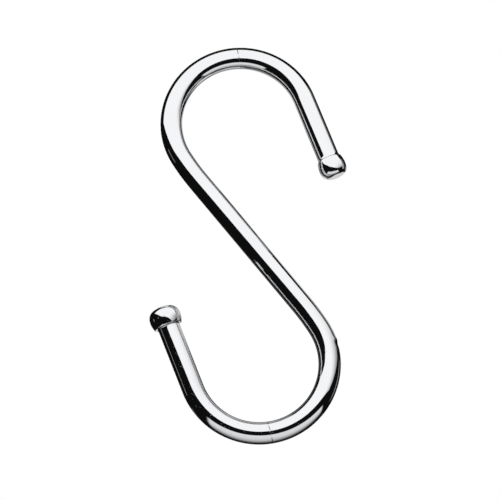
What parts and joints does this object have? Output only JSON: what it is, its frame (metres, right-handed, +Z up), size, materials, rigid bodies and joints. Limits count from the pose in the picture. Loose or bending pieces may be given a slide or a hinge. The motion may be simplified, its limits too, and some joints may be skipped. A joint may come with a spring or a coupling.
{
  "type": "s-hook",
  "caption": "Chrome-plated S-hook of round rod with a blunt rounded cap on each end, for hanging joints, utensils or tools from a rail.",
  "frame": {"origin": "the rail seat: the inside top of the upper bend, where the hook rests on its rail", "axes": "+Z up as the hook hangs, through both seats; the hook lies in the XZ plane with the upper bend open towards +X and the lower bend open towards -X; +Y is across the rod, along the rail"},
  "size_m": [0.0508, 0.0076, 0.1004],
  "materials": {
    "rod_chrome": "bright chrome plate over drawn steel rod",
    "cap_chrome": "bright chrome plate over a turned steel cap"
  },
  "bodies": {
    "root": {"hook_rod": "rod_chrome", "upper_end_cap": "cap_chrome", "lower_end_cap": "cap_chrome"}
  },
  "joints": []
}
